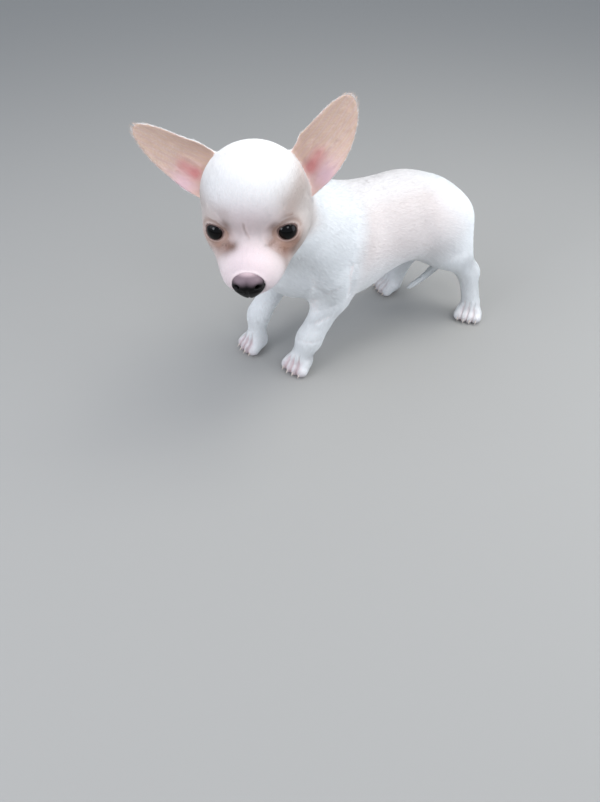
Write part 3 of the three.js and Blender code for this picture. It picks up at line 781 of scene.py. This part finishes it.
def face_outwards(piece):
    pick(piece)
    bpy.ops.object.mode_set(mode="EDIT")
    bpy.ops.mesh.select_all(action="SELECT")
    bpy.ops.mesh.normals_make_consistent(inside=False)
    bpy.ops.object.mode_set(mode="OBJECT")
    piece.data.shade_smooth()


def round_ball(name, rings, sides, surface_at):
    """A closed ball of rings from pole to pole, each point given by its two angles."""
    around = np.linspace(0, 2 * math.pi, sides, endpoint=False)
    down = np.linspace(0, math.pi, rings + 2)
    grid = [surface_at(np.full(1, down[0]), np.zeros(1))]
    grid += [surface_at(np.full(sides, angle), around) for angle in down[1:-1]]
    grid.append(surface_at(np.full(1, down[-1]), np.zeros(1)))
    at = lambda ring, side: 1 + ring * sides + side % sides
    faces = [(0, at(0, s), at(0, s + 1)) for s in range(sides)]
    for r in range(rings - 1):
        faces += [(at(r, s), at(r + 1, s), at(r + 1, s + 1), at(r, s + 1)) for s in range(sides)]
    last = 1 + rings * sides
    faces += [(last, at(rings - 1, s + 1), at(rings - 1, s)) for s in range(sides)]
    mesh = bpy.data.meshes.new(name)
    mesh.from_pydata(((np.concatenate(grid) + PLAN) * MM).tolist(), [], faces)
    ball = new_object(name, mesh)
    face_outwards(ball)
    return ball


def eye_material():
    """A film of tears on a clear cornea: a smooth gloss over near black, with small sharp highlights."""
    material, tree = new_material("wet eyeball")
    arc = node_in(tree, "ShaderNodeAttribute", {"attribute_name": "arc"})
    bands = node_in(tree, "ShaderNodeValToRGB", {}, [(arc.outputs["Fac"], "Fac")])
    stops = bands.color_ramp.elements
    stops.remove(stops[0])
    for i, (place, hue) in enumerate(EYE_COLOURS):
        stop = stops[0] if i == 0 else stops.new(place)
        stop.position = place
        stop.color = (*linear(hue), 1)
    shader = node_in(
        tree,
        "ShaderNodeBsdfPrincipled",
        {"Roughness": 0.02, "IOR": 1.376, "Specular IOR Level": 0.3},
        [(bands.outputs[0], "Base Color")],
    )
    surface(tree, shader)
    return material


wet_eye = eye_material()
for side, word in ((1, "left"), (-1, "right")):
    look = unit(EYE_LOOK * [side, 1, 1])
    across = unit(np.cross([0, 0, 1], look))
    upward = np.cross(look, across)

    def ball_point(down, around):
        radius = EYE_RADIUS + CORNEA_BULGE * (1 - ramp(down * EYE_RADIUS, 2.0, IRIS_RADIUS + 0.6))
        ring = np.sin(down)[:, None] * (np.cos(around)[:, None] * across + np.sin(around)[:, None] * upward)
        return from_head(EYE * [side, 1, 1] + radius[:, None] * (np.cos(down)[:, None] * look + ring))

    eye = round_ball(f"eyeball_{word}", EYE_RINGS, EYE_SIDES, ball_point)
    off = in_head(points_of(eye.data)) - EYE * [side, 1, 1]
    arcs = EYE_RADIUS * np.arccos(np.clip(unit(off) @ look, -1, 1)) / EYE_ARC
    eye.data.attributes.new("arc", "FLOAT", "POINT").data.foreach_set("value", arcs.astype(np.float32))
    eye.data.materials.append(wet_eye)
    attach(eye, "root")
    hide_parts(f"eye_{word}")

# Nose: the hairless leather pad, moist and pebbled, grey-mauve above and near black below,
# with two comma-shaped nostrils and a groove down its middle. The grey-mauve above is partly its own colour
# and partly a painted sheen, and the nostrils are painted near black as shade.
NOSTRIL = np.array([5.0, -3.6, 2.2])
NOSE_MAUVE_AND_SHEEN = "#7b6a71"
NOSE_BLACK = "#060505"
NOSE_EDGE = "#bda8ad"
NOSE_RINGS = 90
NOSE_SIDES = 120


def nose_point(down, around):
    d = np.stack([np.sin(down) * np.cos(around), -np.sin(down) * np.sin(around), np.cos(down)], 1)
    p = d * NOSE_HALF
    p[:, 0] *= 1 - 0.26 * ramp(-d[:, 2], -0.15, 0.9) - 0.12 * ramp(d[:, 2], 0.4, 1.0)
    p[:, 1] -= 0.7 * ramp(d[:, 2], -0.6, 0.6) * ramp(-d[:, 1], 0, 0.5)
    p[:, 1] += 0.5 * bell(d[:, 2] - 0.75, 0.35) * ramp(-d[:, 1], 0, 0.4)
    q = np.abs(p * [1, 0, 0]) + p * [0, 1, 1]
    hole = np.linalg.norm((q - NOSTRIL) / [1.35, 4, 1.15], axis=1)
    slit = np.linalg.norm((q - NOSTRIL - [2.0, 1.2, -0.9]) / [2.2, 4, 0.5], axis=1)
    groove = bell(p[:, 0], 0.45) * ramp(-d[:, 1], 0.2, 0.6) * (1 - ramp(d[:, 2], 0.0, 0.4))
    wing = np.linalg.norm((q - NOSTRIL - [1.0, 0.2, 2.2]) / [2.8, 4, 1.3], axis=1)
    crease = bell((q[:, 2] - NOSTRIL[2] + 2.0 + 0.25 * (q[:, 0] - NOSTRIL[0])) / 0.5, 1.0)
    crease *= ramp(q[:, 0], 1.5, 3)
    sink = 3.4 * bell(hole, 0.75) + bell(slit, 0.9) + 0.5 * groove - 0.4 * bell(wing, 1.0) + 0.2 * crease
    p -= unit(d / NOSE_HALF) * sink[:, None]
    return from_head(NOSE_AT + p)


nose = round_ball("nose_leather", NOSE_RINGS, NOSE_SIDES, nose_point)
off = in_head(points_of(nose.data)) - NOSE_AT
side_off = np.abs(off[:, 0])
# The upper part turns grey-mauve: partly the leather's own colour, partly a painted sheen on the wet top.
mauve_and_sheen = ramp(off[:, 2] + 0.12 * side_off - 0.35 * bell(off[:, 0], 1.2), 2.6, 6.0)
pits_in_shade = np.linalg.norm((off * np.where(off[:, :1] < 0, [-1, 1, 1], 1) - NOSTRIL) / [1.7, 5, 1.4], axis=1)
tone = linear(NOSE_BLACK) + mauve_and_sheen[:, None] * (linear(NOSE_MAUVE_AND_SHEEN) - linear(NOSE_BLACK))
edge = ramp(off[:, 2] + 0.4 * off[:, 1], 5.2, 7.2)[:, None]
tone = tone + edge * (linear(NOSE_EDGE) - tone)
# Painted shade: the nostrils darkened to near black deep in their pits.
tone = tone * (1 - 0.95 * bell(pits_in_shade, 0.95))[:, None]
store_colours(nose.data, "marking", tone)


def nose_material():
    """Moist leather of hairless skin: a soft broad sheen, broken by pebbles about 0.7 mm wide."""
    material, tree = new_material("moist nose leather")
    marking = node_in(tree, "ShaderNodeAttribute", {"attribute_name": "marking"})
    place = node_in(tree, "ShaderNodeTexCoord", {}).outputs["Object"]
    pebble = node_in(tree, "ShaderNodeTexVoronoi", {"Scale": 1500.0}, [(place, "Vector")])
    bump = node_in(
        tree,
        "ShaderNodeBump",
        {"Strength": 0.6, "Distance": 0.00012, "invert": True},
        [(pebble.outputs["Distance"], "Height")],
    )
    shader = node_in(
        tree,
        "ShaderNodeBsdfPrincipled",
        {"Roughness": 0.36, "IOR": 1.4, "Specular IOR Level": 0.22},
        [(marking.outputs["Color"], "Base Color"), (bump.outputs[0], "Normal")],
    )
    surface(tree, shader)
    return material


nose.data.materials.append(nose_material())
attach(nose, "root")
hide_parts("nose")

# Claws: short slim hooks of pale horn, one out of the tip of each toe, thicker at the root,
# where the pink quick shows through. Each is a curved cone of rings whose root sits inside the toe.
CLAW = {"radius": 0.95, "root": (1.6, 4.1), "tip": (5.3, 1.6), "rings": 9, "sides": 10}
HORN = "#e2d5ca"
HORN_QUICK = "#d9c0b8"


def claw_mesh():
    spots, faces, tones = [], [], []
    rings, sides = CLAW["rings"], CLAW["sides"]
    (root_reach, root_height), (tip_reach, tip_height) = CLAW["root"], CLAW["tip"]
    around = np.linspace(0, 2 * math.pi, sides, endpoint=False)
    for paw in PAW:
        for toe in TOES:
            first = len(spots)
            for t in np.linspace(0, 1, rings):
                reach = toe_reach(paw, toe) + root_reach + (tip_reach - root_reach) * t
                height = root_height + (tip_height - root_height) * t + 0.5 * math.sin(math.pi * t)
                radius = CLAW["radius"] * max(1 - t**1.6, 0.07)
                x = toe * PAW[paw]["half_width"] * 0.5 + 0.72 * radius * np.cos(around)
                y = -reach - 0.45 * radius * np.sin(around)
                ring = np.stack([x, y, height + radius * np.sin(around)], 1)
                spots += from_paw(ring, paw).tolist()
                tones += [t] * sides
            at = lambda ring, side: first + ring * sides + side % sides
            for r in range(rings - 1):
                faces += [(at(r, s), at(r, s + 1), at(r + 1, s + 1), at(r + 1, s)) for s in range(sides)]
            faces.append([at(0, s) for s in reversed(range(sides))])
            faces.append([at(rings - 1, s) for s in range(sides)])
    mesh = bpy.data.meshes.new("claws")
    mesh.from_pydata(((np.array(spots) + PLAN) * MM).tolist(), [], faces)
    quick = ramp(np.array(tones), 0.2, 0.6)[:, None]
    store_colours(mesh, "marking", linear(HORN_QUICK) + quick * (linear(HORN) - linear(HORN_QUICK)))
    return mesh


def horn_material():
    """Smooth young horn: a clear gloss, and a grain of half a millimetre, coarser than life to show."""
    material, tree = new_material("pale claw horn")
    marking = node_in(tree, "ShaderNodeAttribute", {"attribute_name": "marking"})
    place = node_in(tree, "ShaderNodeTexCoord", {}).outputs["Object"]
    grain = node_in(tree, "ShaderNodeTexNoise", {"Scale": 1800.0, "Detail": 2.0}, [(place, "Vector")])
    bump = node_in(
        tree, "ShaderNodeBump", {"Strength": 0.2, "Distance": 0.0001}, [(grain.outputs["Fac"], "Height")]
    )
    shader = node_in(
        tree,
        "ShaderNodeBsdfPrincipled",
        {"Roughness": 0.3, "IOR": 1.54},
        [(marking.outputs["Color"], "Base Color"), (bump.outputs[0], "Normal")],
    )
    surface(tree, shader)
    return material


claws = new_object("claws", claw_mesh())
face_outwards(claws)
claws.data.materials.append(horn_material())
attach(claws, "root")

# Coat: short, soft, single hairs that lie flat from the nose to the tail and down each leg.
# They are drawn as thin tapered tufts, closest and shortest on the face and feet. The way the hair runs is
# given here for each part, and its length, lift off the hide, width and tufts to the square millimetre.
LIE = {
    "torso": (0, 1, -0.25),
    "neck": (-0.3, 0.6, -0.65),
    "tail": (0, -0.2, -1),
    "leg": (0, -0.1, -1),
    "paw": (0, -0.6, -0.6),
}
NOSE_TIP = NOSE + np.array([0, -6.0, 3.0])
HAIR = {
    "torso": {"length": 4.2, "lift": 0.065, "width": 0.28, "density": 6.9},
    "neck": {"length": 4.2, "lift": 0.07, "width": 0.28, "density": 6.9},
    "head": {"length": 2.2, "lift": 0.09, "width": 0.19, "density": 13.4},
    "tail": {"length": 3.6, "lift": 0.1, "width": 0.24, "density": 9.0},
    "ear": {"length": 1.9, "lift": 0.1, "width": 0.18, "density": 11.0},
    "leg": {"length": 3.0, "lift": 0.08, "width": 0.24, "density": 9.0},
    "paw": {"length": 1.6, "lift": 0.09, "width": 0.18, "density": 12.0},
}
HAIR_FIELDS = ["length", "lift", "width", "density"]


def lie_of_coat(points, region):
    """The way the hair runs, as laid down for each part and eased where the parts meet."""
    h = in_head(points)
    flow = np.zeros_like(points)
    for node in FLESH:
        own = on(node, region)
        if node == "head":
            flow[own] = unit(h[own] - NOSE_TIP) @ HEAD_AXES
        elif "ear" in node:
            _, _, axis, _ = ear_place(h[own], node)
            flow[own] = axis @ HEAD_AXES
        elif node == "torso":
            lower = 1 - ramp(points[own, 2], 50, 95)
            flow[own] = np.array(LIE["torso"]) + lower[:, None] * np.array([0, -0.35, -0.3])
        elif node == "tail":
            lower = 1 - ramp(points[own, 2], 34, 50)
            flow[own] = np.array(LIE["tail"]) + lower[:, None] * np.array([0, -0.7, 0.5])
        else:
            flow[own] = LIE[kind(node)]
    return flow


# The hair is shorter and finer towards the nose, round the eyes, along creases and at the tail's end, thin in
# the ears, and left out on lips, lids and soles and where the nose sits.
BARE_SOLE = 0.8
LENGTH, WIDTH, DENSITY = (HAIR_FIELDS.index(field) for field in ("length", "width", "density"))
hair = np.array([[HAIR[kind(node)][field] for field in HAIR_FIELDS] for node in FLESH])[region]
edges = edges_of(skin.data)
h = in_head(points)
head_n = normals @ HEAD_AXES.T
on_head = on("head", region)
muzzle = on_head * ramp(-h[:, 1], 14, 30)
hair[:, LENGTH] *= 1 - 0.5 * muzzle
hair[:, WIDTH] *= 1 - 0.3 * muzzle
for ear in EAR_POSE:
    inner = on(ear, region) * inner_ear(h, head_n, ear)
    hair[:, DENSITY] *= 1 - 0.8 * ramp(inner, 0.2, 0.8)
    hair[:, WIDTH] *= 1 - 0.55 * inner
    hair[:, LENGTH] *= 1 + 0.5 * inner
hair[:, LENGTH] *= 1 - 0.45 * bell(near_crease(points), 2.5)
hair[:, LENGTH] *= 1 - 0.5 * on("tail", region) * ramp(-points[:, 1], -70, -52)
hair = eased(hair, edges, 0.5, 10)
for side in (1, -1):
    _, distance, _, _, gap = eye_view(h, side)
    bare = on_head * (distance < 12) * (1 - ramp(gap, 0.25, 0.6))
    hair[:, DENSITY] *= 1 - bare
    short = on_head * (distance < 15) * (1 - ramp(gap, 1, 8))
    hair[:, LENGTH] *= 1 - 0.6 * short
    hair[:, WIDTH] *= 1 - 0.3 * short
hair[:, DENSITY] *= 1 - ramp(near_line(h, head_n, mouth_line()), 1.4, 0.4) * on_head
nose_gap = np.linalg.norm((h - NOSE_AT) / (NOSE_HALF + 0.4), axis=1)
hair[:, DENSITY] *= np.where(on_head, ramp(nose_gap, 0.98, 1.06), 1)
hair[:, DENSITY] *= np.where(points[:, 2] < BARE_SOLE, 0, 1)
for paw in PAW:
    q = in_paw(points, paw)
    own = on(f"{paw}_paw", region)
    hair[:, DENSITY] *= 1 - 0.75 * own * bell(toe_gap(q, paw), 0.8) * ramp(-q[:, 1], 2, 5)
flow = eased(lie_of_coat(points, region), edges, 0.5, 14)
flow -= np.sum(flow * normals, axis=1, keepdims=True) * normals
flow = unit(flow)

pick(skin)
bpy.ops.object.mode_set(mode="EDIT")
bpy.ops.mesh.select_all(action="SELECT")
bpy.ops.uv.smart_project(angle_limit=math.radians(66), island_margin=0.001)
bpy.ops.object.mode_set(mode="OBJECT")
skin.data.uv_layers[0].name = "OFBake"

# Each piece of coat holds at most so many tufts. A tuft sinks a little way into the hide at its root, and
# neighbours rise and shade together in clumps. On the map it fills one small patch, where its root is.
TUFTS_A_PIECE = 66000
ROOT_DEPTH = 0.15
BEND = {"at": 0.5, "rise": 0.85, "width": 0.8}
CLUMP_LIFT = 0.3
CLUMP_SHADE = 0.025
OVER_FLOOR = 0.05
BLADE = [0, 1, 2, 3, 3, 2, 4]
BLADE_FACES = [0, 4]
BLADE_MAP = [[-0.5, -0.5], [0.5, -0.5], [0.5, 0.2], [-0.5, 0.2], [-0.5, 0.2], [0.5, 0.2], [0, 0.5]]
PATCH = 0.003
luck = np.random.default_rng(8)


def coat_roots():
    """Where each tuft grows: a triangle of the hide and a place on it, drawn by their share of hair."""
    mesh = skin.data
    mesh.calc_loop_triangles()
    count = len(mesh.loop_triangles)
    corners = np.empty(count * 3, np.int32)
    loops = np.empty(count * 3, np.int32)
    mesh.loop_triangles.foreach_get("vertices", corners)
    mesh.loop_triangles.foreach_get("loops", loops)
    corners, loops = corners.reshape(-1, 3), loops.reshape(-1, 3)
    a, b, c = (points[corners[:, i]] for i in range(3))
    area = np.linalg.norm(np.cross(b - a, c - a), axis=1) / 2
    share = area * hair[corners, DENSITY].mean(axis=1)
    total = np.cumsum(share)
    number = int(total[-1])
    picks = np.searchsorted(total, (np.arange(number) + luck.random(number)) * total[-1] / number)
    picks = np.minimum(picks, count - 1)
    u, v = luck.random((2, number))
    over = u + v > 1
    u, v = np.where(over, 1 - u, u), np.where(over, 1 - v, v)
    weights = np.stack([1 - u - v, u, v], 1)
    uv = np.empty(len(mesh.loops) * 2, np.float32)
    mesh.uv_layers["OFBake"].data.foreach_get("uv", uv)
    return corners[picks], loops[picks], weights, uv.reshape(-1, 2)


def tuft_mesh(name, roots, ways, outs, sizes, tints, maps):
    """Each tuft is a flat blade, a quad and a triangle, that rises from its root and lies on the hide."""
    number = len(roots)
    column = lambda values: values[:, None]
    length, lift, width = sizes[:, :3].T
    length = length * luck.uniform(0.7, 1.25, number)
    x, y, z = roots.T
    turn = luck.normal(0, 0.09, number) + 0.1 * np.sin(x * 0.35 + z * 0.21) * np.cos(y * 0.28)
    across = np.cross(outs, ways)
    ways = ways * column(np.cos(turn)) + across * column(np.sin(turn))
    across = np.cross(outs, ways)
    roll = luck.normal(0, 0.15, number)
    across = across * column(np.cos(roll)) + outs * column(np.sin(roll))
    clump = np.sin(2.1 * x + 1.7 * np.sin(1.3 * z)) * np.sin(1.9 * y + 1.3 * np.sin(1.1 * x) + 0.7 * z)
    rise = length * lift * luck.uniform(0.5, 1.3, number) * (1 + CLUMP_LIFT * clump)
    low = roots - outs * ROOT_DEPTH
    half = roots + ways * column(length * BEND["at"]) + outs * column(rise * BEND["rise"])
    tip = roots + ways * column(length) + outs * column(rise)
    wide = across * column(width * luck.uniform(0.7, 1.2, number) / 2)
    narrow = wide * BEND["width"]
    spots = np.stack([low - wide, low + wide, half + narrow, half - narrow, tip], 1)
    corners_each = spots.shape[1]
    spots = spots.reshape(-1, 3)
    spots[:, 2] = np.maximum(spots[:, 2], OVER_FLOOR)
    blade = column(np.arange(number))
    mesh = bpy.data.meshes.new(name)
    mesh.vertices.add(number * corners_each)
    mesh.vertices.foreach_set("co", ((spots + PLAN) * MM).astype(np.float32).ravel())
    mesh.loops.add(number * len(BLADE))
    mesh.loops.foreach_set("vertex_index", (blade * corners_each + BLADE).ravel().astype(np.int32))
    mesh.polygons.add(number * len(BLADE_FACES))
    mesh.polygons.foreach_set("loop_start", (blade * len(BLADE) + BLADE_FACES).ravel().astype(np.int32))
    mesh.update(calc_edges=True)
    mesh.shade_smooth()
    layer = mesh.uv_layers.new(name="OFBake")
    layer.data.foreach_set("uv", (maps[:, None, :] + np.array(BLADE_MAP) * PATCH).astype(np.float32).ravel())
    shade = luck.uniform(0.93, 1.01, (number, 1)) * (1 + CLUMP_SHADE * column(clump))
    store_colours(mesh, "marking", np.repeat(np.clip(tints * shade, 0, 1), corners_each, axis=0))
    return mesh


def coat_material():
    """Fine dry hair: a satin gleam along each tuft, and a faint sheen where the coat turns away."""
    material, tree = new_material("short soft puppy hair")
    marking = node_in(tree, "ShaderNodeAttribute", {"attribute_name": "marking"})
    shader = node_in(
        tree,
        "ShaderNodeBsdfPrincipled",
        {
            "Roughness": 0.55,
            "IOR": 1.55,
            "Specular IOR Level": 0.3,
            "Sheen Weight": 0.15,
            "Sheen Roughness": 0.5,
        },
        [(marking.outputs["Color"], "Base Color")],
    )
    surface(tree, shader)
    return material


corners, loops, weights, uv = coat_roots()


def at_roots(values, index):
    return np.einsum("nk,nkd->nd", weights, values[index])


root_points = at_roots(points, corners)
root_normals = unit(at_roots(normals, corners))
root_flow = at_roots(flow, corners)
root_flow = unit(root_flow - np.sum(root_flow * root_normals, axis=1, keepdims=True) * root_normals)
root_hair = at_roots(hair, corners)
root_maps = at_roots(uv, loops)
root_region = region[corners[:, 0]]
root_tints = markings(root_points, root_normals, root_region)
soft_hair = coat_material()
grown = (root_points, root_flow, root_normals, root_hair, root_tints, root_maps)
parts = {part: [part] for part in ("head", "neck", "torso", "tail")}
parts["ears"] = ["ear_left", "ear_right"]
parts["legs"] = [node for node in FLESH if kind(node) in ("leg", "paw")]
for part, nodes in parts.items():
    own = np.nonzero(np.isin(root_region, [FLESH.index(node) for node in nodes]))[0]
    for number, chunk in enumerate(np.array_split(own, math.ceil(len(own) / TUFTS_A_PIECE)), 1):
        name = f"coat_{part}_{number}"
        coat = new_object(name, tuft_mesh(name, *(values[chunk] for values in grown)))
        coat.data.materials.append(soft_hair)
        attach(coat, "root")
        print(coat.name, len(coat.data.polygons))

# Floor: a wide sheet of matt paper, level with the soles of the feet, pale and without gloss.
# It is laid flat and runs out of sight on every side. Its half width is in metres.
FLOOR_HALF = 6
PAPER_GREY = "#9f9e9b"
floor = new_object("floor", bpy.data.meshes.new("floor"))
floor_corners = [(x * FLOOR_HALF, y * FLOOR_HALF, 0) for x, y in ((-1, -1), (1, -1), (1, 1), (-1, 1))]
floor.data.from_pydata(floor_corners, [], [(0, 1, 2, 3)])
floor_material, tree = new_material("matt pale paper")
paper = {"Base Color": (*linear(PAPER_GREY), 1), "Roughness": 0.9}
surface(tree, node_in(tree, "ShaderNodeBsdfPrincipled", paper))
floor.data.materials.append(floor_material)

# Light: a bright soft lamp above and behind, two weaker ones as fill from ahead and from behind, and two
# small ones whose images are the highlights in the eyes, all under a pale even sky, as in open shade.
SKY = {"colour": "#dfe8f5", "strength": 0.72}
LIGHT_AIM = np.array([0, -20, 80])
LIGHTS = [
    {"at": (140, 200, 720), "size": 0.5, "energy": 3.35, "colour": "#fffdf8"},
    {"at": (-60, -600, 560), "size": 0.7, "energy": 2.0, "colour": "#f6f6ff"},
    {"at": (400, 360, 230), "size": 0.4, "energy": 1.1, "colour": "#eef4ff"},
    {"at": (150, -780, 430), "size": 0.22, "energy": 1.35, "colour": "#f4f8ff"},
    {"at": (660, -150, 600), "size": 0.22, "energy": 1.0, "colour": "#f4f8ff"},
]
for number, light in enumerate(LIGHTS, 1):
    lamp = bpy.data.lights.new(f"soft_light_{number}", "AREA")
    lamp.size = light["size"]
    lamp.energy = light["energy"]
    lamp.color = linear(light["colour"])
    holder = new_object(f"soft_light_{number}", lamp)
    holder.location = (np.array(light["at"]) + PLAN) * MM
    aim = Vector((LIGHT_AIM - np.array(light["at"])).tolist())
    holder.rotation_euler = aim.to_track_quat("-Z", "Y").to_euler()
world = bpy.data.worlds.new("pale sky")
world.use_nodes = True
background = world.node_tree.nodes["Background"]
background.inputs["Color"].default_value = (*linear(SKY["colour"]), 1)
background.inputs["Strength"].default_value = SKY["strength"]
scene = bpy.context.scene
scene.world = world
scene.view_settings.view_transform = "Standard"

# Camera: held low over the puppy's left shoulder and looking half down, with a phone's wide lens.
# The focus is in pixels of a picture that is 802 pixels high.
CAMERA_AT = np.array([276.4, -200.0, 270.0])
CAMERA_DOWN = 45
CAMERA_TURN = 60
FOCUS_PIXELS = 602
PHOTO_HEIGHT = 802
view = bpy.data.cameras.new("camera")
view.lens = view.sensor_width * FOCUS_PIXELS / PHOTO_HEIGHT
view.clip_start = 0.01
camera = new_object("camera", view)
camera.location = (CAMERA_AT + PLAN) * MM
camera.rotation_euler = (math.radians(90 - CAMERA_DOWN), 0, math.radians(CAMERA_TURN))
scene.camera = camera
